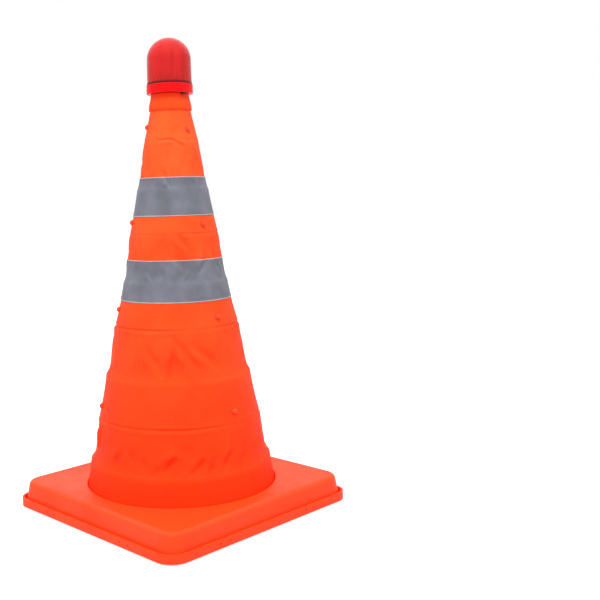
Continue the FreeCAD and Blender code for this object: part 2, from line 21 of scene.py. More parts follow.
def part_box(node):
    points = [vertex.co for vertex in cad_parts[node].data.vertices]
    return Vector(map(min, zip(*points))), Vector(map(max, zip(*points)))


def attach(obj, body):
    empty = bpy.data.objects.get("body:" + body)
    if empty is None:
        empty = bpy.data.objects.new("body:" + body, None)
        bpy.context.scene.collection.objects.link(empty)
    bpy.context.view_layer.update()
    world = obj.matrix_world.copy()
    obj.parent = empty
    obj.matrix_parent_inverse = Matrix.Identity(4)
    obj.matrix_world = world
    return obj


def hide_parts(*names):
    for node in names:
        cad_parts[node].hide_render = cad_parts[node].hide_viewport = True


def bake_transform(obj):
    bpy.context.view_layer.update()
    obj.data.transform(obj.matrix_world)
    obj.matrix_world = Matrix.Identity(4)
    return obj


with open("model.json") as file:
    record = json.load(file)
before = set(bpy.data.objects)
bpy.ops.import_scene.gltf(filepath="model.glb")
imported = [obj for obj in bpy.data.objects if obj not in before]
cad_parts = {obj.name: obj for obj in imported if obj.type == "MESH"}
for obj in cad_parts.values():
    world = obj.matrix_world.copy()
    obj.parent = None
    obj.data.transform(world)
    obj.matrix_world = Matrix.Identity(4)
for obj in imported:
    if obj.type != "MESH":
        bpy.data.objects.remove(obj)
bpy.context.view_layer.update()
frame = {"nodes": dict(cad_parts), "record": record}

MM = 0.001
FULL_TURN = 2 * math.pi
SEAM_ANGLE = math.radians(52.0)
TIP_HEM = 0.7 * MM
LOG = logging.getLogger("cone")

Piece = bpy.types.Object
Socket = bpy.types.NodeSocket
Sockets = dict[str, object]
Array = np.ndarray
Colour = tuple[float, float, float]


class Slot(Enum):
    """The record's material slots."""

    BASE = "base_plastic"
    FOOT = "foot_rubber"
    SCREW = "screw_steel"
    HOOP = "hoop_plastic"
    FABRIC = "coated_fabric"
    TAPE = "reflective_tape"
    RIVET = "rivet_plastic"
    WASHER = "washer_plastic"
    HOUSING = "lamp_housing"
    BLACK = "black_plastic"
    BUTTON = "button_plastic"
    BATTERY = "battery_can"
    CONTACT = "contact_metal"
    BOARD = "board_laminate"
    LED = "led_resin"
    WIRE = "wire_insulation"
    LENS = "red_lens"
    SEAL = "seal_rubber"


# Meshes ---------------------------------------------------------------------


def deselect_all() -> None:
    """Clear the selection, so that an operator acts only on its own object."""
    if bpy.context.object and bpy.context.object.mode != "OBJECT":
        bpy.ops.object.mode_set(mode="OBJECT")
    bpy.ops.object.select_all(action="DESELECT")


def activate(piece: Piece) -> None:
    """Select one object alone and make it the active one."""
    deselect_all()
    piece.select_set(True)
    bpy.context.view_layer.objects.active = piece


def added(operator: Callable[..., object], name: str, **sizes: object) -> Piece:
    """Run an operator that adds an object.

    Args:
        operator: the operator.
        name: the new object's name.
        sizes: the operator's arguments.

    Returns:
        The new object.
    """
    deselect_all()
    operator(**sizes)
    bpy.context.object.name = name
    return bpy.context.object


def edit(piece: Piece, *steps: Callable[[], object]) -> None:
    """Run mesh operators on the whole of an object.

    Args:
        piece: a mesh object.
        steps: the operators, each run with everything selected.
    """
    activate(piece)
    bpy.ops.object.mode_set(mode="EDIT")
    for step in steps:
        bpy.ops.mesh.select_all(action="SELECT")
        step()
    bpy.ops.object.mode_set(mode="OBJECT")
    deselect_all()


def spin(steps: int, turns: int = 1) -> Callable[[], object]:
    """A mesh operator that sweeps the selection about the Z axis."""
    return partial(bpy.ops.mesh.spin, steps=steps, angle=FULL_TURN * turns, center=(0, 0, 0), axis=(0, 0, 1))


MERGE = partial(bpy.ops.mesh.remove_doubles, threshold=1e-6)
CLEAN = partial(bpy.ops.mesh.dissolve_degenerate, threshold=1e-7)
FACE_OUT = partial(bpy.ops.mesh.normals_make_consistent, inside=False)


def coordinates(piece: Piece) -> Array:
    """Read an object's vertices as an (n, 3) array."""
    points = np.zeros(len(piece.data.vertices) * 3)
    piece.data.vertices.foreach_get("co", points)
    return points.reshape(-1, 3)


def set_coordinates(piece: Piece, points: Array) -> None:
    """Write an object's vertices from an (n, 3) array."""
    piece.data.vertices.foreach_set("co", np.ascontiguousarray(points, dtype=np.float32).ravel())
    piece.data.update()


def settle(piece: Piece, smooth_degrees: float) -> None:
    """Put the object's place into its mesh and smooth its gentle edges.

    Args:
        piece: the object, with no parent.
        smooth_degrees: edges sharper than this stay sharp.
    """
    activate(piece)
    bpy.ops.object.transform_apply(location=True, rotation=True, scale=True)
    bpy.ops.object.shade_smooth_by_angle(angle=math.radians(smooth_degrees))
    deselect_all()


def apply_modifiers(piece: Piece) -> None:
    """Apply every modifier of an object, in order."""
    activate(piece)
    for modifier in list(piece.modifiers):
        bpy.ops.object.modifier_apply(modifier=modifier.name)
    deselect_all()


# Materials ------------------------------------------------------------------


def shade(colour: Colour, share: float) -> Colour:
    """A colour made darker or lighter by a share."""
    return tuple(c * share for c in colour)


class Graph:
    """The nodes of a material or a world, with short ways to add and join them."""

    def __init__(self, owner: bpy.types.Material | bpy.types.World) -> None:
        """Take up a new material or world and its shader."""
        owner.use_nodes = True
        self.tree = owner.node_tree
        self.shader = next(n for n in self.tree.nodes if n.type in ("BSDF_PRINCIPLED", "BACKGROUND"))

    def fill(self, socket: Socket, value: object) -> None:
        """Give an input socket its link or its constant.

        Args:
            socket: the input socket.
            value: an output socket, or a constant.
        """
        if isinstance(value, Socket):
            self.tree.links.new(value, socket)
        elif socket.type == "RGBA":
            socket.default_value = (*value[:3], 1.0)
        else:
            socket.default_value = value

    def feed(self, node: bpy.types.Node, **values: object) -> bpy.types.Node:
        """Fill a node's sockets and set its properties.

        Args:
            node: the node.
            values: links or constants, by the name of a socket or a property; an
                underscore in a socket's name stands for a space.

        Returns:
            The same node.
        """
        for name, value in values.items():
            socket = node.inputs.get(name.replace("_", " "))
            if socket is None:
                setattr(node, name, value)
            else:
                self.fill(socket, value)
        return node

    def node(self, kind: str, **values: object) -> bpy.types.Node:
        """Add a node of a kind and feed it."""
        return self.feed(self.tree.nodes.new(kind), **values)

    def place(self, output: str = "Object") -> Socket:
        """The texture coordinates: the object's own, its UV map or the sky's."""
        return self.node("ShaderNodeTexCoord").outputs[output]

    def height(self, where: Socket) -> Socket:
        """The Z of some coordinates."""
        return self.node("ShaderNodeSeparateXYZ", Vector=where).outputs["Z"]

    def stretched(self, where: Socket, share: float) -> Socket:
        """Coordinates whose Z is scaled by a share."""
        return self.node("ShaderNodeMapping", Vector=where, Scale=(1.0, 1.0, share)).outputs[0]

    def noise(self, where: Socket, scale: float, detail: float = 3.0) -> Socket:
        """Noise of a scale, in cells per metre, read at given coordinates."""
        return self.node("ShaderNodeTexNoise", Vector=where, Scale=scale, Detail=detail).outputs[0]

    def spread(
        self, source: Socket, low: float, high: float, from_low: float = 0.35, from_high: float = 0.65
    ) -> Socket:
        """Map a value range onto another, clamped.

        Args:
            source: the value.
            low: what the lower end becomes.
            high: what the upper end becomes.
            from_low: the lower end of the value's range.
            from_high: the upper end of the value's range.

        Returns:
            The mapped value.
        """
        made = self.node("ShaderNodeMapRange", Value=source)
        for socket, value in zip((1, 2, 3, 4), (from_low, from_high, low, high)):
            made.inputs[socket].default_value = value
        return made.outputs[0]

    def mix(self, factor: Socket, first: Colour | Socket, second: Colour | Socket) -> Socket:
        """Mix two colours by a factor.

        Args:
            factor: 0 for the first colour, 1 for the second.
            first: a colour, or a socket that gives one.
            second: the other.

        Returns:
            The mixed colour.
        """
        made = self.node("ShaderNodeMix", data_type="RGBA")
        for socket, value in ((0, factor), (6, first), (7, second)):
            self.fill(made.inputs[socket], value)
        return made.outputs[2]

    def maths(self, how: str, *values: Socket | float) -> Socket:
        """Combine two values with a Math node, by its operation's name."""
        made = self.node("ShaderNodeMath", operation=how)
        for socket, value in zip(made.inputs, values):
            self.fill(socket, value)
        return made.outputs[0]

    def bump(self, height: Socket, depth: float, strength: float, **under: Socket) -> Socket:
        """A bump of a depth in metres, over another one if given as Normal."""
        made = self.node("ShaderNodeBump", Height=height, Distance=depth, Strength=strength, **under)
        return made.outputs[0]

    def camera_rays(self) -> Socket:
        """1 where the camera looks straight at the surface, otherwise 0."""
        return self.node("ShaderNodeLightPath").outputs["Is Camera Ray"]


@dataclass(frozen=True)
class Finish:
    """A procedural finish; each kind says what its shader is fed."""

    name: str

    def build(self) -> bpy.types.Material:
        """Make the material."""
        material = bpy.data.materials.new(self.name)
        g = Graph(material)
        g.feed(g.shader, **self.sockets(g, g.place()))
        return material

    def sockets(self, g: Graph, where: Socket) -> Sockets:
        """Lay the finish's nodes.

        Args:
            g: the material's graph.
            where: the object's own coordinates.

        Returns:
            What goes into the shader's sockets.
        """
        raise NotImplementedError


@dataclass(frozen=True)
class MouldedPlastic(Finish):
    """A moulded plastic with a fine spark grain and slightly uneven colour."""

    colour: Colour
    worn: Colour
    roughness: float = 0.42
    shine: float = 0.45
    grain_per_m: float = 2600.0
    grain_depth: float = 0.05 * MM
    mottle_per_m: float = 26.0

    def sockets(self, g: Graph, where: Socket) -> Sockets:
        """Lay a mottled colour, and a grain over a faint waviness."""
        mottle = g.noise(where, self.mottle_per_m, 4.0)
        grain = g.noise(where, self.grain_per_m, 2.0)
        rough = g.spread(mottle, self.roughness - 0.05, self.roughness + 0.07)
        waviness = g.bump(g.noise(where, self.mottle_per_m * 3, 2.0), 0.25 * MM, 0.12)
        return dict(
            Base_Color=g.mix(g.spread(mottle, 0.0, 1.0), self.colour, self.worn),
            Roughness=g.maths("ADD", rough, g.spread(grain, -0.03, 0.03)),
            Normal=g.bump(grain, self.grain_depth, 0.35, Normal=waviness),
            Specular_IOR_Level=self.shine,
        )


@dataclass(frozen=True)
class CoatedFabric(Finish):
    """A plain-woven cloth with a thin satin coating, laid out by its flat cut, with painted light and shade
    in its colour.
    """

    colour: Colour
    # The lit colour at the tip: painted light, lighter towards the top.
    lit_tip_colour: Colour
    # A darker colour, used both for a random mottle and for painted shade in the weave's hollows.
    weave_shade_and_mottle: Colour
    # The hem's painted shadow colour, darker for the shade under the lamp's collar.
    collar_shadow_colour: Colour
    # Heights over which the colour turns from the darker colour low down to the lit tip colour: painted
    # light.
    painted_light_rise: tuple[float, float] = (30 * MM, 330 * MM)
    hem_z: float = 359.2 * MM
    hem_edge: float = 0.5 * MM
    thread_pitch: float = 0.75 * MM
    thread_depth: float = 0.12 * MM
    roughness: float = 0.55
    shine: float = 0.09

    def sockets(self, g: Graph, where: Socket) -> Sockets:
        """Lay the weave by the UV map, in metres, over soft crumples; the hem under the lamp's collar gets a
        painted shadow.
        """
        waves = [
            g.node(
                "ShaderNodeTexWave", bands_direction=way, Vector=g.place("UV"), Scale=0.5 / self.thread_pitch,
                Distortion=0.6, Detail=1.0, Detail_Scale=0.6,
            ).outputs["Fac"]
            for way in ("X", "Y")
        ]
        weave = g.maths("MULTIPLY", *waves)
        height = g.height(where)
        # Painted light: darker low down and lighter towards the tip, as the light falls from above.
        painted_light_rise = g.spread(height, 0.0, 1.0, *self.painted_light_rise)
        # Painted shadow: the hem just under the lamp's collar is painted darker, for the collar's shade.
        hem = g.spread(height, 0.0, 0.55, self.hem_z, self.hem_z + self.hem_edge)
        base = g.mix(hem, g.mix(painted_light_rise, self.colour, self.lit_tip_colour), self.collar_shadow_colour)
        # A random darker mottle of the cloth's own tone.
        base = g.mix(g.spread(g.noise(where, 40.0, 4.0), 0.0, 0.35), base, self.weave_shade_and_mottle)
        fuzz = g.noise(where, 1500.0, 2.0)
        crumple = g.bump(g.noise(where, 75.0, 2.0), 2.0 * MM, 0.16)
        soft = g.bump(g.noise(where, 230.0), 0.5 * MM, 0.3, Normal=crumple)
        return dict(
            # Painted shade: the weave's low parts are painted a little darker, as shade between the threads.
            Base_Color=g.mix(g.spread(weave, 0.22, 0.0, 0.0, 0.8), base, self.weave_shade_and_mottle),
            Roughness=g.spread(fuzz, self.roughness - 0.05, self.roughness + 0.08),
            Normal=g.bump(weave, self.thread_depth, 0.4, Normal=soft),
            Specular_IOR_Level=self.shine,
        )


@dataclass(frozen=True)
class ReflectiveTape(Finish):
    """A grey cloth-backed tape with a layer of tiny glass beads."""

    colour: Colour
    dark: Colour

    def sockets(self, g: Graph, where: Socket) -> Sockets:
        """Lay the beads by the UV map, in metres, over soft crumples."""
        beads = g.node("ShaderNodeTexVoronoi", Scale=1300.0, Vector=g.place("UV")).outputs["Distance"]
        soft = g.bump(g.noise(where, 260.0), 0.3 * MM, 0.25)
        return dict(
            Base_Color=g.mix(g.spread(g.noise(where, 60.0, 5.0), 0.0, 1.0), self.colour, self.dark),
            Roughness=g.spread(beads, 0.38, 0.55, 0.0, 0.6),
            Normal=g.bump(beads, 0.06 * MM, 0.3, Normal=soft),
            Metallic=0.25, Specular_IOR_Level=0.5, Coat_Weight=0.15, Coat_Roughness=0.3,
        )


@dataclass(frozen=True)
class Thread(Finish):
    """A twisted sewing thread."""

    colour: Colour

    def sockets(self, g: Graph, where: Socket) -> Sockets:
        """Lay the twist as slanting bands, painted darker in the grooves between the plies as painted shade.
        """
        kind = "ShaderNodeTexWave"
        wave = g.node(kind, bands_direction="DIAGONAL", Vector=where, Scale=900.0, Distortion=1.0)
        twist = wave.outputs["Fac"]
        return dict(
            # Painted shade: the twist's grooves take a darker copy of the thread colour.
            Base_Color=g.mix(twist, shade(self.colour, 0.7), self.colour),
            Normal=g.bump(twist, 0.05 * MM, 0.4), Roughness=0.6, Sheen_Weight=0.2,
        )


@dataclass(frozen=True)
class ClearPlastic(Finish):
    """A tinted clear plastic, milky enough to glow where it is lit."""

    colour: Colour
    transmission: float
    roughness: float
    shine: float = 0.5
    ior: float = 1.49
    foot_z: float = 385.3 * MM
    foot_edge: float = 0.6 * MM

    def sockets(self, g: Graph, where: Socket) -> Sockets:
        """Lay faint upright streaks, and a dark foot that no light reaches."""
        streaks = g.noise(g.stretched(where, 0.08), 260.0)
        tint = g.mix(g.spread(streaks, 0.0, 0.5), self.colour, shade(self.colour, 0.55))
        foot = g.spread(g.height(where), 0.9, 0.0, self.foot_z, self.foot_z + self.foot_edge)
        return dict(
            Base_Color=g.mix(foot, tint, shade(self.colour, 0.3)),
            Roughness=g.spread(g.noise(where, 900.0, 2.0), self.roughness, self.roughness + 0.05),
            Normal=g.bump(g.noise(where, 70.0), 0.4 * MM, 0.05),
            Transmission_Weight=self.transmission, IOR=self.ior, Specular_IOR_Level=self.shine,
        )


@dataclass(frozen=True)
class Rubber(Finish):
    """A matt rubber with a fine bloom."""

    colour: Colour

    def sockets(self, g: Graph, where: Socket) -> Sockets:
        """Lay a bloom that lightens and dulls the surface."""
        bloom = g.noise(where, 300.0, 5.0)
        light = tuple(c * 1.6 + 0.01 for c in self.colour)
        return dict(
            Base_Color=g.mix(g.spread(bloom, 0.0, 1.0), self.colour, light),
            Roughness=g.spread(bloom, 0.7, 0.85),
            Normal=g.bump(g.noise(where, 1800.0, 2.0), 0.05 * MM, 0.3),
        )


@dataclass(frozen=True)
class Metal(Finish):
    """A plated or drawn metal with fine scratches."""

    colour: Colour
    roughness: float = 0.3

    def sockets(self, g: Graph, where: Socket) -> Sockets:
        """Lay the scratches as noise squeezed along Z."""
        lines = g.noise(g.stretched(where, 12.0), 700.0, 4.0)
        return dict(
            Base_Color=g.mix(g.spread(lines, 0.0, 1.0), self.colour, shade(self.colour, 0.75)),
            Roughness=g.spread(lines, self.roughness - 0.08, self.roughness + 0.15),
            Normal=g.bump(lines, 0.02 * MM, 0.2), Metallic=1.0,
        )


@dataclass(frozen=True)
class Laminate(Finish):
    """A green circuit laminate with fine copper tracks under its lacquer."""

    def sockets(self, g: Graph, where: Socket) -> Sockets:
        """Lay the tracks as the joints of a brick pattern."""
        tracks = g.node("ShaderNodeTexBrick", Vector=where, Scale=420.0, Mortar_Size=0.06).outputs["Fac"]
        return dict(
            Base_Color=g.mix(tracks, (0.01, 0.10, 0.035), (0.05, 0.22, 0.07)),
            Roughness=g.spread(g.noise(where, 500.0, 2.0), 0.25, 0.4),
            Normal=g.bump(tracks, 0.04 * MM, 0.5),
        )


FINISHES = {
    Slot.BASE: MouldedPlastic("moulded_orange", (0.95, 0.048, 0.007), (0.92, 0.043, 0.006), 0.42, 0.2),
    Slot.FOOT: Rubber("foot_rubber", (0.018, 0.018, 0.018)),
    Slot.SCREW: Metal("zinc_plate", (0.62, 0.63, 0.65)),
    Slot.HOOP: MouldedPlastic("hoop_black", (0.018, 0.018, 0.02), (0.03, 0.03, 0.032), 0.5),
    # The cloth's colours, in order: low down, the tip's painted light, the weave's painted shade and mottle,
    # the hem's painted collar shadow.
    Slot.FABRIC: CoatedFabric(
        "orange_cloth", (0.96, 0.03, 0.002), (0.96, 0.108, 0.022), (0.9, 0.026, 0.002), (0.92, 0.045, 0.004)
    ),
    Slot.TAPE: ReflectiveTape("grey_tape", (0.155, 0.16, 0.195), (0.115, 0.119, 0.145)),
    Slot.RIVET: MouldedPlastic("rivet_orange", (0.86, 0.045, 0.008), (0.78, 0.036, 0.006), 0.35, 0.35),
    Slot.WASHER: MouldedPlastic("washer_black", (0.03, 0.03, 0.03), (0.05, 0.05, 0.05), 0.5),
    Slot.HOUSING: MouldedPlastic("housing_red", (0.8, 0.002, 0.003), (0.76, 0.002, 0.003), 0.3, 0.15),
    Slot.BLACK: MouldedPlastic("inner_black", (0.014, 0.014, 0.015), (0.026, 0.026, 0.027), 0.45),
    Slot.BUTTON: MouldedPlastic("button_black", (0.01, 0.01, 0.011), (0.02, 0.02, 0.02), 0.4),
    Slot.BATTERY: Metal("cell_sleeve", (0.28, 0.29, 0.31), 0.35),
    Slot.CONTACT: Metal("nickel_plate", (0.7, 0.68, 0.62), 0.25),
    Slot.BOARD: Laminate("board_laminate"),
    Slot.LED: ClearPlastic("led_resin", (0.93, 0.9, 0.88), 0.7, 0.08),
    Slot.WIRE: MouldedPlastic("wire_red", (0.35, 0.02, 0.015), (0.3, 0.015, 0.012), 0.4),
    Slot.LENS: ClearPlastic("red_lens", (1.0, 0.016, 0.014), 0.6, 0.13, 0.12),
    Slot.SEAL: Rubber("seal_rubber", (0.03, 0.004, 0.005)),
}
PIPING = ReflectiveTape("pale_piping", (0.36, 0.37, 0.4), (0.3, 0.31, 0.34))
ORANGE_THREAD = Thread("orange_thread", (0.85, 0.09, 0.02))
GREY_THREAD = Thread("grey_thread", (0.2, 0.205, 0.235))


class Paint:
    """Builds each finish once and gives it to pieces."""

    def __init__(self) -> None:
        """Start with no material built."""
        self.built: dict[str, bpy.types.Material] = {}

    def material(self, finish: Finish) -> bpy.types.Material:
        """The material of a finish, built on first use."""
        if finish.name not in self.built:
            self.built[finish.name] = finish.build()
        return self.built[finish.name]

    def dress(self, piece: Piece, slot: Slot, finish: Finish | None = None) -> None:
        """Give a piece its slot's finish, or another one.

        Args:
            piece: the object to dress.
            slot: the record's material slot.
            finish: a finish to use in place of the slot's own.
        """
        material = self.material(finish or FINISHES[slot])
        if not piece.material_slots:
            piece.data.materials.append(material)
        for holder in piece.material_slots:
            holder.material = material

    def dress_frame(self) -> None:
        """Give every CAD node that stays in sight its slot's finish."""
        for part in frame["record"]["subparts"]:
            slot = Slot(part["material_slot"])
            for holder in frame["nodes"][part["node"]].material_slots:
                holder.material = self.material(FINISHES[slot])


# The fabric -----------------------------------------------------------------


@dataclass(frozen=True)
class Hoop:
    """A hoop under the fabric: its edges' heights and the fabric's radii there."""

    letter: str
    z0: float
    z1: float
    r0: float
    r1: float


@dataclass(frozen=True)
class Crease:
    """A short fold in the slack cloth between two hoops.

    The gap counts from the base, the turn is in degrees from the front, the share
    is the height within the gap, and the tilt is in degrees from upright, leaning
    to the right as it rises. Length, depth and width are in millimetres.
    """

    gap: int
    turn: float
    share: float
    tilt: float
    length: float
    depth: float
    width: float = 2.6


def half_width(node: str) -> float:
    """Half of a round CAD node's width."""
    low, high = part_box(node)
    return (high[0] - low[0]) / 2


def read_hoops(tip_radius: float) -> list[Hoop]:
    """Read the five hoops from the CAD fabric's boxes.

    Args:
        tip_radius: the fabric's radius at its upper end, which no box shows.

    Returns:
        The hoops from the lowest to the highest.
    """
    hoops = []
    for letter, above in zip("abcde", ("ab", "bc", "cd", "de", None)):
        low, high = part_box(f"cloth_ring_{letter}")
        top = half_width(f"cloth_gap_{above}") if above else tip_radius
        hem = 0.0 if above else TIP_HEM
        hoops.append(Hoop(letter, low[2], high[2] + hem, half_width(f"cloth_ring_{letter}"), top))
    return hoops


@dataclass
class SleeveShape:
    """The whole sleeve's surface: tight over the hoops, slack between them."""

    hoops: list[Hoop]
    columns: int = 312
    gap_rows: int = 30
    hoop_rows: int = 10
    tip_rows: int = 60
    coarse_columns: int = 196
    coarse_gap_rows: int = 17
    dips: tuple[float, ...] = (3.1 * MM, 2.3 * MM, 1.6 * MM, 1.3 * MM)
    hollows: tuple[float, ...] = (0.15 * MM, 0.6 * MM, 0.6 * MM, 0.5 * MM)
    grooves: tuple[float, ...] = (0.8 * MM, 0.85 * MM, 0.4 * MM, 0.25 * MM)
    height_slack: float = 0.035
    girth_slack: float = 0.016
    dip_gain: float = 1.45
    dip_start: float = 0.12
    dip_fade: float = 1.4
    tuck_below: float = 1.4
    roll_below: float = 4.2
    roll_share: float = 0.6
    twists: tuple[float, ...] = (1.2, -1.1, 1.0, -1.1)
    frames: int = 24
    crease_cap: float = 2.8 * MM
    crease_gain: float = 2.6
    fold_room: float = 0.3 * MM
    open_room: float = 3.0 * MM
    room_shares: tuple[float, ...] = (0.05, 0.14, 0.3, 0.45)
    tip_outline: tuple[tuple[float, float], ...] = (
        (0.0, 24.2), (5.0, 22.85), (13.0, 21.1), (19.0, 19.75), (23.2, 18.95), (24.4, 18.4),
        (24.9, 18.45), (25.4, 19.25), (26.6, 19.6), (30.6, 19.25), (35.5, 18.0), (40.4, 17.2),
    )
    front: float = math.radians(-132.7)
    creases: tuple[tuple[float, ...], ...] = (
        (0, -27, 0.20, -38, 9, 0.9), (0, -8, 0.36, 42, 17, 1.3), (0, 4, 0.13, 30, 8, 0.8),
        (0, 18, 0.22, 25, 12, 1.2), (0, 30, 0.34, 34, 14, 1.1), (0, -47, 0.34, 24, 14, 1.0),
        (0, -36, 0.30, -30, 12, 0.9), (0, -17, 0.22, 38, 11, 1.1), (0, 11, 0.30, 48, 15, 1.1),
        (0, 25, 0.20, -40, 9, 0.9), (0, 42, 0.26, 30, 11, 0.9), (0, -2, 0.46, -60, 12, 0.6),
        (1, -9, 0.36, 14, 30, 1.2, 3.0), (1, -24, 0.34, -38, 20, 1.0, 3.0), (1, 6, 0.38, -32, 26, 1.4, 3.0),
        (1, 22, 0.36, -48, 28, 1.3, 3.0), (1, -4, 0.66, -20, 16, 0.7), (2, 8, 0.72, -38, 18, 0.9),
        (2, -20, 0.30, 64, 12, 0.7), (2, 2, 0.34, -30, 12, 0.6), (2, 30, 0.40, 40, 14, 0.8),
        (2, 52, 0.38, -24, 16, 0.9), (3, -22, 0.22, -55, 10, 0.8), (3, 40, 0.55, 20, 12, 0.4),
        (2, -31, 0.12, -32, 9, 0.4, 1.3), (2, -17, 0.2, 48, 8, 0.35, 1.3), (2, -6, 0.26, -56, 9, 0.35, 1.2),
        (2, 13, 0.14, 40, 8, 0.35, 1.3), (2, 22, 0.3, -44, 9, 0.4, 1.3), (2, 38, 0.2, -30, 10, 0.5, 1.4),
        (3, -12, 0.95, 86, 14, -0.7, 1.1), (3, 14, 0.9, -62, 17, -0.7, 1.2), (3, 4, 0.99, -58, 9, 0.5, 1.2),
        (3, -14, 0.14, -25, 12, 0.6, 1.6),
    )
    spread_creases: int = 34
    front_half: float = 62.0
    valley_share: float = 0.8
    valley_offset: float = 1.7

    def gaps(self, z: Array) -> Iterator[tuple[Hoop, Hoop, Array]]:
        """Each gap's two hoops, and how far up the gap each height is, as a share."""
        for low, high in zip(self.hoops, self.hoops[1:]):
            yield low, high, (z - low.z1) / (high.z0 - low.z1)

    def mean_radius(self, z: Array) -> Array:
        """The sleeve's radius at each height, before any crease."""
        out = np.zeros_like(z)
        for hoop, deepest in zip(self.hoops, self.hollows):
            share = (z - hoop.z0) / (hoop.z1 - hoop.z0)
            on_hoop = (share >= 0) & (share <= 1)
            hollow = deepest * np.sin(math.pi * np.clip(share, 0, 1)) ** 0.7
            out = np.where(on_hoop, hoop.r0 + (hoop.r1 - hoop.r0) * share - hollow, out)
        tip = self.hoops[-1]
        outline = np.array(self.tip_outline) * MM
        out = np.where(z >= tip.z0, np.interp(z - tip.z0, outline[:, 0], outline[:, 1]), out)
        for (low, high, share), depth in zip(self.gaps(z), self.dips):
            between = (share > 0) & (share < 1)
            share = np.clip(share, 0, 1)
            dip = depth * self.dip_gain * (1 - np.exp(-share / self.dip_start)) * (1 - share) ** self.dip_fade
            line = low.r1 + (high.r0 - low.r1) * share
            out = np.where(between, line - dip, out)
        return out

    def tuck(self, angle: Array, z: Array) -> Array:
        """How deep the cloth tucks in just under each hoop, unevenly round the cone."""
        out = np.zeros_like(z)
        for k, (high, groove) in enumerate(zip(self.hoops[1:], self.grooves)):
            below = (high.z0 - z) / MM
            line = np.exp(-((below - self.tuck_below) ** 2) / 1.5)
            line -= self.roll_share * np.exp(-((below - self.roll_below) ** 2) / 2.6)
            uneven = 0.75 + 0.4 * np.sin(2 * angle + 1.7 * k + 0.6) + 0.25 * np.sin(5 * angle + 2.3 * k)
            out += groove * np.clip(uneven, 0.2, 1.3) * np.where(below > 0, line, 0)
        return out

    def freedom(self, z: Array) -> Array:
        """How free the cloth is at each height: 0 on a hoop, 1 between two."""
        free = sum(np.sin(math.pi * np.clip(share, 0, 1)) ** 0.5 for _, _, share in self.gaps(z))
        return np.where(free < 1e-3, 0, free)

    def rows(self, per_gap: int, per_hoop: int, per_tip: int) -> Array:
        """Heights of the rows, closer together towards each hoop's edge.

        Args:
            per_gap: rows in each gap between two hoops.
            per_hoop: rows on each hoop but the last.
            per_tip: rows on the last hoop.

        Returns:
            The rising heights, with every hoop's edges among them.
        """
        heights = [np.array([self.hoops[0].z0])]
        for k, hoop in enumerate(self.hoops):
            last = hoop is self.hoops[-1]
            heights.append(np.linspace(hoop.z0, hoop.z1, (per_tip if last else per_hoop) + 1)[1:])
            if not last:
                share = np.linspace(0, 1, per_gap + 1)[1:]
                eased = share - 0.6 * np.sin(FULL_TURN * share) / FULL_TURN
                heights.append(hoop.z1 + (self.hoops[k + 1].z0 - hoop.z1) * eased)
        return np.concatenate(heights)

    def twist(self, z: Array) -> Array:
        """How far each height is turned, in radians, as the hoops settle askew."""
        turns = np.cumsum((0.0, *self.twists))
        edges = [edge for hoop in self.hoops for edge in (hoop.z0, hoop.z1)]
        return np.radians(np.interp(z, edges, np.repeat(turns, 2)))

    def ripple(self, angle: Array, z: Array) -> Array:
        """A small uneven start for the simulated creases, in metres."""
        waves = ((7, 90.0, 0.3), (11, -160.0, 1.1), (17, 240.0, 2.3), (23, -310.0, 0.7), (31, 420.0, 1.9))
        return 0.2 * MM * sum(np.sin(n * angle + k * z + p) for n, k, p in waves) * self.freedom(z)

    def sewn_shape(self, angle: Array, z: Array, rows: Array) -> Array:
        """The cloth as it was sewn, a little taller and wider than its hoops hold it.

        Args:
            angle: each vertex's angle.
            z: each vertex's height.
            rows: the rising heights of all rows.

        Returns:
            The vertices of the slack shape.
        """
        middles = (rows[1:] + rows[:-1]) / 2
        steps = np.diff(rows) * np.where(self.freedom(middles) > 0, 1 + self.height_slack, 1)
        sewn = np.concatenate([[rows[0]], rows[0] + np.cumsum(steps)])
        wide = self.mean_radius(z) * (1 + self.girth_slack * self.freedom(z))
        return around_axis(angle, np.interp(z, rows, sewn), wide)

    def simulate(self) -> tuple[Array, Array]:
        """Let the slack cloth settle between its hoops, on a coarse grid.

        Returns:
            The coarse rows' heights, and how far each vertex moved, as an array
            of rows by columns by (outward, sideways, upward).
        """
        rows = self.rows(self.coarse_gap_rows, 3, 3)
        piece, across, z = lay_grid("slack_cloth", self.coarse_columns, rows)
        angle = SEAM_ANGLE + FULL_TURN * across
        turned = angle + self.twist(z)
        mean = around_axis(turned, z, self.mean_radius(z))
        set_coordinates(piece, around_axis(turned, z, self.mean_radius(z) + self.ripple(angle, z)))
        piece.shape_key_add(name="start")
        sewn = piece.shape_key_add(name="sewn")
        sewn.data.foreach_set("co", self.sewn_shape(angle, z, rows).astype(np.float32).ravel())
        held = piece.vertex_groups.new(name="held")
        held.add([int(k) for k in np.flatnonzero(self.freedom(z) <= 0)], 1.0, "REPLACE")
        cloth = piece.modifiers.new("cloth", "CLOTH")
        stiff = dict(
            quality=6, mass=0.02, air_damping=3.0, tension_stiffness=40, compression_stiffness=40,
            shear_stiffness=20, bending_stiffness=0.08, tension_damping=6, compression_damping=6,
            shear_damping=4, vertex_group_mass="held", rest_shape_key=sewn,
        )
        for setting, value in stiff.items():
            setattr(cloth.settings, setting, value)
        cloth.settings.effector_weights.gravity = 0
        cloth.collision_settings.use_collision = False
        cloth.point_cache.frame_end = self.frames
        scene = bpy.context.scene
        for step in range(1, self.frames + 1):
            scene.frame_set(step)
        shown = piece.evaluated_get(bpy.context.evaluated_depsgraph_get())
        settled = np.zeros(len(shown.data.vertices) * 3)
        shown.data.vertices.foreach_get("co", settled)
        scene.frame_set(1)
        bpy.data.objects.remove(piece)
        move = settled.reshape(-1, 3) - mean
        size = np.linalg.norm(move, axis=1, keepdims=True)
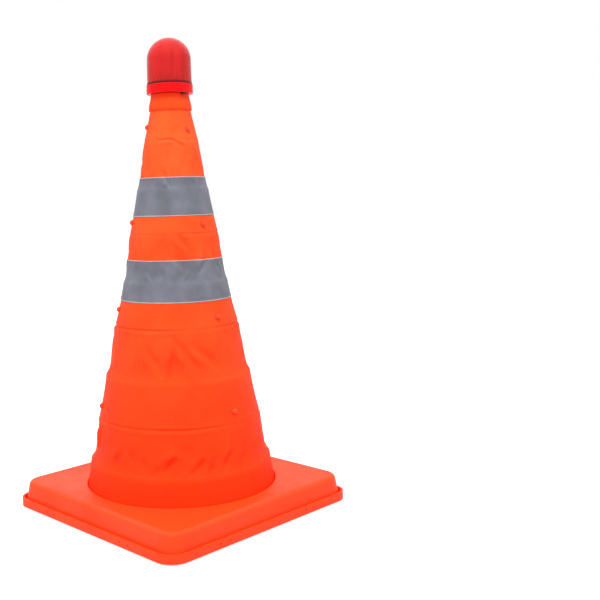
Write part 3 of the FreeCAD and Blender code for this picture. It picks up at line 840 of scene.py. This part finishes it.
        LOG.info("slack cloth settled, mean move %.2f mm, most %.2f mm", size.mean() / MM, size.max() / MM)
        move *= self.crease_cap * np.tanh(size / self.crease_cap) / np.maximum(size, 1e-9)
        outward = move[:, 0] * np.cos(turned) + move[:, 1] * np.sin(turned)
        sideways = move[:, 1] * np.cos(turned) - move[:, 0] * np.sin(turned)
        grid = np.zeros((len(rows), self.coarse_columns + 1, 3))
        row = np.searchsorted(rows, z - 1e-6)
        column = np.rint(across * self.coarse_columns).astype(int)
        grid[row, column] = np.stack([outward, sideways, move[:, 2]], axis=1)
        return rows, grid

    def creased(self, angle: Array, z: Array) -> Array:
        """How far the listed creases, and others spread round the back, stand out.

        Args:
            angle: angles, as an array.
            z: heights, as an array of the same shape.

        Returns:
            The outward distances in metres.
        """
        chance = np.random.default_rng(11)
        folds = [Crease(*values) for values in self.creases]
        for k in range(self.spread_creases):
            back = 360 - 2 * self.front_half
            turn = self.front_half + back * (k + chance.uniform(0, 1)) / self.spread_creases
            size = (self.hoops[k % 4].r1 / self.hoops[0].r1) ** 1.5
            folds.append(Crease(
                k % 4, turn, chance.uniform(0.15, 0.7), chance.uniform(-50, 50),
                chance.uniform(9, 24), chance.uniform(0.5, 1.2) * size,
            ))
        out = np.zeros_like(z)
        for fold in folds:
            low, high = self.hoops[fold.gap], self.hoops[fold.gap + 1]
            middle = low.z1 + (high.z0 - low.z1) * fold.share
            turn = angle - self.front - math.radians(fold.turn)
            turn = (turn + math.pi) % FULL_TURN - math.pi
            side = turn * self.mean_radius(np.array([middle]))[0] / MM
            rise = (z - middle) / MM
            tilt = math.radians(fold.tilt)
            along = rise * math.cos(tilt) + side * math.sin(tilt)
            across = side * math.cos(tilt) - rise * math.sin(tilt)
            across /= fold.width
            ridge = np.exp(-(across**2)) - self.valley_share * np.exp(-((across - self.valley_offset) ** 2))
            out += self.crease_gain * fold.depth * MM * ridge * np.exp(-((along / (0.5 * fold.length)) ** 4))
        return out * np.minimum(1, 1.5 * self.freedom(z))

    def room(self, z: Array) -> Array:
        """How far out the slack cloth may stand, so that it clears its hoop when folded."""
        out = np.full_like(z, 10 * MM)
        rooms = (self.open_room, self.fold_room, self.fold_room, self.open_room)
        for _, _, share in self.gaps(z):
            out = np.where((share > 0) & (share < 1), np.interp(share, self.room_shares, rooms), out)
        return out

    def settle(self) -> None:
        """Work out the whole surface once, as rows by columns of points and normals."""
        self.heights = self.rows(self.gap_rows, self.hoop_rows, self.tip_rows)
        self.angles = SEAM_ANGLE + np.linspace(0, FULL_TURN, self.columns + 1)
        angle, z = np.meshgrid(self.angles, self.heights)
        free = self.freedom(z)
        move = np.zeros((*z.shape, 3))
        rows, coarse = self.simulate()
        coarse_angles = SEAM_ANGLE + np.linspace(0, FULL_TURN, self.coarse_columns + 1)
        for axis in range(3):
            tall = np.stack([np.interp(self.heights, rows, line) for line in coarse[:, :, axis].T])
            wide = np.stack([np.interp(self.angles, coarse_angles, line) for line in tall.T])
            move[:, :, axis] = softened(wide, 2) * np.minimum(1, 3 * free)
        stand = np.minimum(move[:, :, 0] + self.creased(angle, z), self.room(z))
        out = self.mean_radius(z) + softened(stand, 1) - self.tuck(angle, z)
        turned = angle + self.twist(z) + move[:, :, 1] / out
        self.points = around_axis(turned, z + move[:, :, 2], out)
        up = np.gradient(self.points, axis=0)
        ahead = np.concatenate([self.points[:, 1:], self.points[:, 1:2]], axis=1)
        behind = np.concatenate([self.points[:, -2:-1], self.points[:, :-1]], axis=1)
        normals = np.cross(ahead - behind, up)
        self.normals = normals / np.linalg.norm(normals, axis=2, keepdims=True)

    def sample(self, angle: Array, z: Array, offset: Array | float) -> Array:
        """Points on the sleeve, or off it by a distance.

        Args:
            angle: angles before the twist, as a flat array.
            z: heights, as a flat array.
            offset: how far outside the cloth.

        Returns:
            An (n, 3) array.
        """
        row = np.interp(z, self.heights, np.arange(len(self.heights)))
        column = ((angle - SEAM_ANGLE) / FULL_TURN % 1.0) * self.columns
        r0 = np.minimum(row.astype(int), len(self.heights) - 2)
        c0 = np.minimum(column.astype(int), self.columns - 1)
        fr, fc = (row - r0)[:, None], (column - c0)[:, None]

        def mixed(grid: Array) -> Array:
            """Read a grid between its four nearest points."""
            low = grid[r0, c0] * (1 - fc) + grid[r0, c0 + 1] * fc
            high = grid[r0 + 1, c0] * (1 - fc) + grid[r0 + 1, c0 + 1] * fc
            return low * (1 - fr) + high * fr

        return mixed(self.points) + mixed(self.normals) * np.reshape(offset, (-1, 1))

    def flat_cut(self, angle: Array, z: Array) -> Array:
        """Where each point lay on the flat pattern, an arc-shaped cut, in metres."""
        share, apex = self.cone()
        to_tip = apex - (z - self.hoops[0].z0) / math.sqrt(1 - share**2)
        spread = (angle - SEAM_ANGLE) * share
        return np.stack([to_tip * np.sin(spread), -to_tip * np.cos(spread)], axis=1)

    def cone(self) -> tuple[float, float]:
        """The sine of the cone's half angle, and its slant length up to the apex."""
        low, high = self.hoops[0], self.hoops[-1]
        share = (low.r0 - high.r1) / math.hypot(low.r0 - high.r1, high.z1 - low.z0)
        return share, low.r0 / share

    def flat_size(self, low: float, high: float) -> tuple[tuple[float, float], float]:
        """The flat cut of the stretch between two heights.

        Returns:
            The (width, length) of the rectangle that holds it, and its area.
        """
        share, apex = self.cone()
        outer, inner = (apex - (z - self.hoops[0].z0) / math.sqrt(1 - share**2) for z in (low, high))
        half = math.pi * share
        flat = (2 * outer * math.sin(half), outer - inner * math.cos(half))
        return flat, half * (outer**2 - inner**2)


def around_axis(angle: Array, z: Array, radius: Array) -> Array:
    """Points from angles, heights and radii; the last axis holds x, y and z."""
    return np.stack([radius * np.cos(angle), radius * np.sin(angle), z], axis=-1)


def softened(grid: Array, times: int) -> Array:
    """Smooth a rows-by-columns grid whose columns close on themselves."""
    for _ in range(times):
        inner = grid[:, :-1]
        inner = (np.roll(inner, 1, axis=1) + 2 * inner + np.roll(inner, -1, axis=1)) / 4
        grid = np.concatenate([inner, inner[:, :1]], axis=1)
        padded = np.concatenate([grid[:1], grid, grid[-1:]])
        grid = (padded[:-2] + 2 * padded[1:-1] + padded[2:]) / 4
    return grid


def lay_grid(name: str, columns: int, rows: Array) -> tuple[Piece, Array, Array]:
    """Add a flat grid that will be laid on the cone.

    Args:
        name: the object's name.
        columns: faces across.
        rows: the heights of the rows of vertices.

    Returns:
        The object, each vertex's share of the way across, and its height.
    """
    steps = len(rows) - 1
    piece = added(bpy.ops.mesh.primitive_grid_add, name, x_subdivisions=columns, y_subdivisions=steps, size=2)
    flat = coordinates(piece)
    row = np.rint((flat[:, 1] + 1) / 2 * steps).astype(int)
    return piece, (flat[:, 0] + 1) / 2, rows[row]


@dataclass
class Span:
    """One stretch of the sleeve: what it replaces and what it follows."""

    number: int
    low: float
    high: float
    nodes: tuple[str, ...]
    bodies: tuple[str, ...]
    bend: tuple[float, float] | None

    def follow(self, piece: Piece) -> None:
        """Attach a finished piece to the body that holds this stretch when it has no slack part; otherwise
        only put its place into its mesh.
        """
        if self.bend is None:
            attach(piece, self.bodies[0])
        else:
            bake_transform(piece)


@dataclass
class Fabric:
    """The orange sleeve in five stretches, its bands, its back seam and stitches."""

    shape: SleeveShape
    paint: Paint
    cloth: float = 0.5 * MM
    tape: float = 0.3 * MM
    tape_lift: float = 0.36 * MM
    piping: float = 0.9 * MM
    piping_bulge: float = 0.3 * MM
    piping_overlap: float = 0.2 * MM
    piping_rows: int = 7
    seam_columns: int = 6
    seam_half_width: float = 4.0 * MM
    seam_stitch_share: float = 0.55
    stitch_pitch: float = 3.2 * MM
    stitch_length: float = 2.3 * MM
    stitch_radius: float = 0.2 * MM
    stitch_inset: float = 1.8 * MM

    def spans(self) -> list[Span]:
        """The five stretches, each from a hoop's lower edge to the next one's."""
        hoops = self.shape.hoops
        bodies = ["base"] + [f"hoop_{hoop.letter}" for hoop in hoops[1:]]
        made = []
        for k, hoop in enumerate(hoops[:-1]):
            above = hoops[k + 1]
            nodes = (f"cloth_ring_{hoop.letter}", f"cloth_gap_{hoop.letter}{above.letter}")
            bend = (hoop.z1, above.z0)
            made.append(Span(k + 1, hoop.z0, above.z0, nodes, (bodies[k], bodies[k + 1]), bend))
        tip = hoops[-1]
        made.append(Span(5, tip.z0, tip.z1, (f"cloth_ring_{tip.letter}",), (bodies[-1],), None))
        return made

    def strip(self, name: str, heights: Array, lift: Sequence[float] | float, thickness: float) -> Piece:
        """Wrap a strip of cloth round the cone.

        Args:
            name: the strip's name.
            heights: its rows.
            lift: how far outside the sleeve its outer face is, overall or by row.
            thickness: its thickness, grown inwards.

        Returns:
            The closed piece.
        """
        piece, across, z = lay_grid(name, self.shape.columns, heights)
        lifts = np.interp(z, heights, np.broadcast_to(lift, heights.shape))
        self.drape(piece, SEAM_ANGLE + FULL_TURN * across, z, lifts)
        edit(piece, MERGE)
        return self.thicken(piece, thickness)

    def drape(self, piece: Piece, angle: Array, z: Array, lift: Array) -> None:
        """Lay a flat piece on the sleeve, with its flat cut as its UV map, in metres.

        Args:
            piece: the piece.
            angle: each vertex's angle.
            z: each vertex's height.
            lift: how far outside the sleeve each vertex lies.
        """
        loops = np.zeros(len(piece.data.loops), dtype=np.int32)
        piece.data.loops.foreach_get("vertex_index", loops)
        cut = self.shape.flat_cut(angle, z)[loops]
        piece.data.uv_layers[0].data.foreach_set("uv", cut.astype(np.float32).ravel())
        set_coordinates(piece, self.shape.sample(angle, z, lift))

    def thicken(self, piece: Piece, thickness: float) -> Piece:
        """Give an open strip its thickness, inwards, and smooth it."""
        solid = piece.modifiers.new("thickness", "SOLIDIFY")
        solid.thickness = thickness
        solid.offset = -1.0
        apply_modifiers(piece)
        settle(piece, 60)
        return piece

    def declare(self, low: float, high: float) -> None:
        """Work out a strip's flat cut and its area; nothing is done with them."""
        flat, area = self.shape.flat_size(low, high)

    def stitches(
        self, name: str, angle: Array, z: Array, step: tuple[Array | float, float], lift: float
    ) -> Piece:
        """Lay stitches on the sleeve.

        Args:
            name: the piece's name.
            angle: each stitch's angle.
            z: each stitch's height.
            step: the turn and the rise that lead on from each stitch.
            lift: how far outside the sleeve they lie.

        Returns:
            All the stitches as one piece.
        """
        places = self.shape.sample(angle, z, lift)
        along = unit(self.shape.sample(angle + step[0], z + step[1], lift) - places)
        out = unit(self.shape.sample(angle, z, lift + MM) - places)
        piece = added(bpy.ops.mesh.primitive_uv_sphere_add, name, segments=6, ring_count=4, radius=1.0)
        one = coordinates(piece)
        copies = piece.modifiers.new("copies", "ARRAY")
        copies.count = len(places)
        copies.use_relative_offset = False
        copies.use_constant_offset = True
        copies.constant_offset_displace = (4.0, 0.0, 0.0)
        apply_modifiers(piece)
        bow = one[:, 1] * 0.8 + 0.4 - 0.35 * one[:, 2] ** 2
        points = places[:, None, :] + self.stitch_length / 2 * one[None, :, 2:3] * along[:, None, :]
        points += self.stitch_radius * one[None, :, 0:1] * np.cross(along, out)[:, None, :]
        points += self.stitch_radius * bow[None, :, None] * out[:, None, :]
        set_coordinates(piece, points.reshape(-1, 3))
        edit(piece, FACE_OUT)
        settle(piece, 180)
        return piece

    def build_sleeve(self) -> list[Piece]:
        """Make the five stretches of cloth with the back seam on each."""
        made = []
        for span in self.spans():
            heights = self.shape.heights
            rows = heights[(heights >= span.low - 1e-6) & (heights <= span.high + 1e-6)]
            sleeve = self.strip(f"sleeve_{span.number}", rows, 0.0, self.cloth)
            self.paint.dress(sleeve, Slot.FABRIC)
            seam = self.back_seam(f"back_seam_{span.number}", rows)
            stitches = self.seam_stitches(f"back_seam_stitches_{span.number}", rows)
            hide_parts(*span.nodes)
            for piece in (sleeve, seam, stitches):
                span.follow(piece)
            self.declare(span.low, span.high)
            made += [sleeve, seam, stitches]
        return made

    def back_seam(self, name: str, rows: Array) -> Piece:
        """Make the overlap where the cut's two edges are sewn together, a raised strip.

        Args:
            name: the strip's name.
            rows: the heights of its rows.

        Returns:
            The dressed strip.
        """
        piece, across, z = lay_grid(name, self.seam_columns, rows)
        side = 2 * across - 1
        angle = SEAM_ANGLE + side * self.seam_half_width / self.shape.mean_radius(z)
        self.drape(piece, angle, z, self.cloth * (1.0 - 0.55 * side**4))
        self.thicken(piece, 0.4 * self.cloth)
        self.paint.dress(piece, Slot.FABRIC)
        return piece

    def seam_stitches(self, name: str, rows: Array) -> Piece:
        """Make two rows of stitches up the back seam.

        Args:
            name: the piece's name.
            rows: the heights of the seam's rows.

        Returns:
            The dressed stitches.
        """
        length = rows[-1] - rows[0]
        count = int(length / self.stitch_pitch)
        z = np.tile(rows[0] + (np.arange(count) + 0.5) * length / count, 2)
        side = np.repeat((-self.seam_stitch_share, self.seam_stitch_share), count)
        angle = SEAM_ANGLE + side * self.seam_half_width / self.shape.mean_radius(z)
        piece = self.stitches(name, angle, z, (0.0, 0.3 * MM), self.cloth)
        self.paint.dress(piece, Slot.FABRIC, ORANGE_THREAD)
        return piece

    def band_stitches(self, name: str, heights: Sequence[float]) -> Piece:
        """Make the stitches that run round the cone near a band's edges.

        Args:
            name: the piece's name.
            heights: the height of each row of stitches.

        Returns:
            The dressed stitches.
        """
        girths = FULL_TURN * self.shape.mean_radius(np.array(heights))
        counts = np.rint(girths / self.stitch_pitch).astype(int)
        angle = np.concatenate([SEAM_ANGLE + np.arange(count) * FULL_TURN / count for count in counts])
        step = (0.5 / np.repeat(counts, counts), 0.0)
        piece = self.stitches(name, angle, np.repeat(heights, counts), step, self.tape_lift)
        self.paint.dress(piece, Slot.TAPE, GREY_THREAD)
        return piece

    def build_band(self, name: str, nodes: tuple[str, ...], span: Span) -> list[Piece]:
        """Make a reflective band with its two piped edges and its stitches.

        Args:
            name: the band's name.
            nodes: the CAD nodes that it stands for.
            span: the stretch of the sleeve that it is sewn to.

        Returns:
            The band, its piping and its stitches.
        """
        boxes = [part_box(node) for node in nodes]
        low = min(box[0][2] for box in boxes)
        high = max(box[1][2] for box in boxes)
        inner = self.shape.heights
        inner = inner[(inner > low + 0.5 * MM) & (inner < high - 0.5 * MM)]
        band = self.strip(name, np.concatenate([[low], inner, [high]]), self.tape_lift, self.tape)
        self.paint.dress(band, Slot.TAPE)
        extras = []
        share = np.linspace(0, 1, self.piping_rows)
        bulge = self.tape_lift + self.piping_bulge * np.sin(math.pi * share) ** 0.6
        edges = (("lower", low - self.piping_overlap), ("upper", high - self.piping + self.piping_overlap))
        for word, start in edges:
            edge = self.strip(f"{name}_{word}_piping", start + self.piping * share, bulge, self.tape)
            self.paint.dress(edge, Slot.TAPE, PIPING)
            extras.append(edge)
        heights = (low + self.stitch_inset, high - self.stitch_inset)
        extras.append(self.band_stitches(f"{name}_stitches", heights))
        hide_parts(*nodes)
        for piece in (band, *extras):
            span.follow(piece)
        self.declare(low, high)
        return [band, *extras]

    def build(self) -> list[Piece]:
        """Make the sleeve and both bands."""
        self.shape.settle()
        made = self.build_sleeve()
        for name, span in (("lower_band", self.spans()[2]), ("upper_band", self.spans()[3])):
            made += self.build_band(name, (f"{name}_on_ring", f"{name}_above"), span)
        return made


def unit(vectors: Array) -> Array:
    """Scale each vector of an (n, 3) array to length 1."""
    return vectors / np.maximum(np.linalg.norm(vectors, axis=1, keepdims=True), 1e-12)


# The lamp -------------------------------------------------------------------


@dataclass
class Lamp:
    """The lamp at the tip: its red lens and the coil springs under its cells."""

    paint: Paint
    lens_skirt_radius: float = 19.2 * MM
    lens_foot_radius: float = 20.3 * MM
    lens_radius: float = 20.0 * MM
    lens_seat_z: float = 384.0 * MM
    lens_spring_line_z: float = 406.0 * MM
    lens_wall: float = 1.8 * MM
    lens_chamfer: float = 0.3 * MM
    dome_steps: int = 14
    flutes: int = 26
    flute_depth: float = 0.35 * MM
    spring_wire: float = 0.25 * MM
    spring_turns: int = 5
    spring_sides: int = 8
    spring_steps: int = 24
    spring_taper: float = 0.28

    def lens_outline(self, bottom: float, top: float) -> list[tuple[float, float]]:
        """The lens's section.

        Args:
            bottom: the height of the skirt's lower edge.
            top: the height of the dome's top.

        Returns:
            (radius, z) points, up the outside and down the inside.
        """
        skirt, foot, edge = self.lens_skirt_radius, self.lens_foot_radius, self.lens_chamfer
        seat, spring, thin = self.lens_seat_z, self.lens_spring_line_z, self.lens_wall
        outer = [(skirt, bottom), (skirt, seat), (foot - edge, seat), (foot, seat + edge)]
        outer.append((self.lens_radius, spring))
        inner = [(skirt - thin, bottom), (skirt - thin, seat), (self.lens_radius - thin, spring)]
        for turn in np.linspace(0, math.pi / 2, self.dome_steps + 1)[1:]:
            for line, wall in ((outer, 0.0), (inner, thin)):
                across = (self.lens_radius - wall) * math.cos(turn) if turn < math.pi / 2 else 0.0
                line.append((across, spring + (top - spring - wall) * math.sin(turn)))
        return outer + inner[::-1]

    def build_lens(self) -> Piece:
        """Turn the lens, with shallow upright flutes inside that spread the light."""
        low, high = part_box("lens")
        outline = self.lens_outline(low[2], high[2])
        lens = added(bpy.ops.mesh.primitive_circle_add, "lens_dome", vertices=len(outline), radius=0.01)
        set_coordinates(lens, np.array([(r, 0.0, z) for r, z in outline]))
        edit(lens, spin(8 * self.flutes), MERGE, CLEAN, FACE_OUT)
        points = coordinates(lens)
        radius = np.hypot(points[:, 0], points[:, 1])
        angle = np.arctan2(points[:, 1], points[:, 0])
        inside = (radius < self.lens_radius - 0.5 * self.lens_wall) & (points[:, 2] > self.lens_seat_z + MM)
        inside &= points[:, 2] < self.lens_spring_line_z + MM
        wave = 1 + self.flute_depth * np.cos(self.flutes * angle) / np.maximum(radius, MM)
        points[:, :2] *= np.where(inside, wave, 1.0)[:, None]
        set_coordinates(lens, points)
        settle(lens, 40)
        self.paint.dress(lens, Slot.LENS)
        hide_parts("lens")
        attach(lens, "lens")
        return lens

    def build_spring(self, word: str, side: int) -> Piece:
        """Wind a tapered coil spring under one of the cells.

        Args:
            word: which spring, for its name.
            side: -1 or 1, along X.

        Returns:
            The spring.
        """
        low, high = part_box("battery_springs")
        radius, wire = (high[1] - low[1]) / 2, self.spring_wire
        name = f"cell_spring_{word}"
        spring = added(bpy.ops.mesh.primitive_circle_add, name, vertices=self.spring_sides, radius=wire)
        ring = coordinates(spring)
        set_coordinates(spring, np.stack([ring[:, 0] + radius - wire, 0 * ring[:, 0], ring[:, 1]], axis=1))
        steps = self.spring_steps * self.spring_turns
        edit(spring, bpy.ops.mesh.edge_face_add, spin(steps, self.spring_turns))
        points = coordinates(spring)
        share = np.minimum(np.arange(len(points)) // self.spring_sides, steps) / steps
        points[:, :2] *= (1 - self.spring_taper * share)[:, None]
        points[:, 0] += side * (high[0] - radius)
        points[:, 2] += low[2] + wire + share * (high[2] - low[2] - 2 * wire)
        set_coordinates(spring, points)
        edit(spring, FACE_OUT)
        settle(spring, 50)
        self.paint.dress(spring, Slot.CONTACT)
        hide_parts("battery_springs")
        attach(spring, "hoop_e")
        return spring

    def build(self) -> list[Piece]:
        """Make the lens and both springs."""
        return [self.build_lens(), self.build_spring("left", -1), self.build_spring("right", 1)]


# The studio -----------------------------------------------------------------


@dataclass
class Studio:
    """A pale floor, soft light from all round and the camera."""

    floor_radius: float = 9.0
    floor_sides: int = 96
    floor_glow: float = 0.55
    yaw: float = math.radians(-42.7)
    pan: float = math.radians(-0.595)
    pitch: float = math.radians(-2.536)
    roll: float = math.radians(-1.681)
    distance: float = 817.7 * MM
    camera_height: float = 277.8 * MM
    sideways: float = 18.67 * MM
    sensor_mm: float = 36.0
    lens_mm: float = 53.59
    shift: tuple[float, float] = (0.16, -0.1)
    reach: float = 50.0
    horizon: float = 0.62
    zenith: float = 1.45
    lamp_strength: float = 3.4
    lamp_spread: float = math.radians(26)
    lamp_height: float = math.radians(62)
    lamp_side: float = math.radians(-4)

    def build_floor(self) -> None:
        """Lay a wide round floor with a faint unevenness."""
        circle = bpy.ops.mesh.primitive_circle_add
        floor = added(circle, "floor", vertices=self.floor_sides, radius=self.floor_radius, fill_type="NGON")
        material = bpy.data.materials.new("pale_floor")
        g = Graph(material)
        g.feed(
            g.shader,
            Base_Color=g.mix(g.spread(g.noise(g.place(), 3.0), 0, 1), (0.5, 0.5, 0.5), (0.48, 0.48, 0.48)),
            Roughness=0.9, Specular_IOR_Level=0.1, Emission_Color=(1, 1, 1),
            Emission_Strength=g.maths("MULTIPLY", g.camera_rays(), self.floor_glow),
        )
        floor.data.materials.append(material)

    def build_light(self) -> None:
        """Light the scene by a sky that is brighter overhead, and one broad soft lamp."""
        world = bpy.data.worlds.new("sky")
        bpy.context.scene.world = world
        g = Graph(world)
        rise = g.spread(g.height(g.place("Generated")), self.horizon, self.zenith, 0.0, 1.0)
        g.feed(g.shader, Color=(1, 1, 1), Strength=g.maths("MAXIMUM", rise, g.camera_rays()))
        key = added(bpy.ops.object.light_add, "soft_lamp", type="SUN", location=(0, 0, 2))
        key.data.energy = self.lamp_strength
        key.data.angle = self.lamp_spread
        key.visible_glossy = key.visible_transmission = False
        around = Matrix.Rotation(self.yaw + self.lamp_side, 4, "Z")
        key.matrix_world = around @ Matrix.Rotation(math.pi / 2 - self.lamp_height, 4, "X")

    def build_camera(self) -> None:
        """Set the camera a little above the cone's middle, corner on."""
        data = bpy.data.cameras.new("camera")
        camera = bpy.data.objects.new("camera", data)
        bpy.context.scene.collection.objects.link(camera)
        data.sensor_width = self.sensor_mm
        data.lens = self.lens_mm
        data.shift_x, data.shift_y = self.shift
        data.clip_end = self.reach
        place = Vector((self.sideways, -self.distance, self.camera_height))
        place = Matrix.Rotation(self.yaw, 4, "Z") @ place
        turn = Matrix.Rotation(self.yaw + self.pan, 4, "Z")
        turn @= Matrix.Rotation(math.pi / 2 + self.pitch, 4, "X") @ Matrix.Rotation(self.roll, 4, "Z")
        camera.matrix_world = Matrix.Translation(place) @ turn
        bpy.context.scene.camera = camera

    def build(self) -> None:
        """Set up the studio."""
        bpy.context.scene.view_settings.view_transform = "Standard"
        self.build_floor()
        self.build_light()
        self.build_camera()


def main() -> None:
    """Dress the CAD frame, make the soft pieces and the lamp, and set the studio."""
    logging.basicConfig(level=logging.INFO, format="%(name)s: %(message)s")
    paint = Paint()
    paint.dress_frame()
    hoops = read_hoops(tip_radius=17.2 * MM)
    for assembly in (Fabric(SleeveShape(hoops), paint), Lamp(paint)):
        for piece in assembly.build():
            LOG.info("%s has %d faces", piece.name, len(piece.data.polygons))
    Studio().build()


if __name__ == "__main__":
    main()
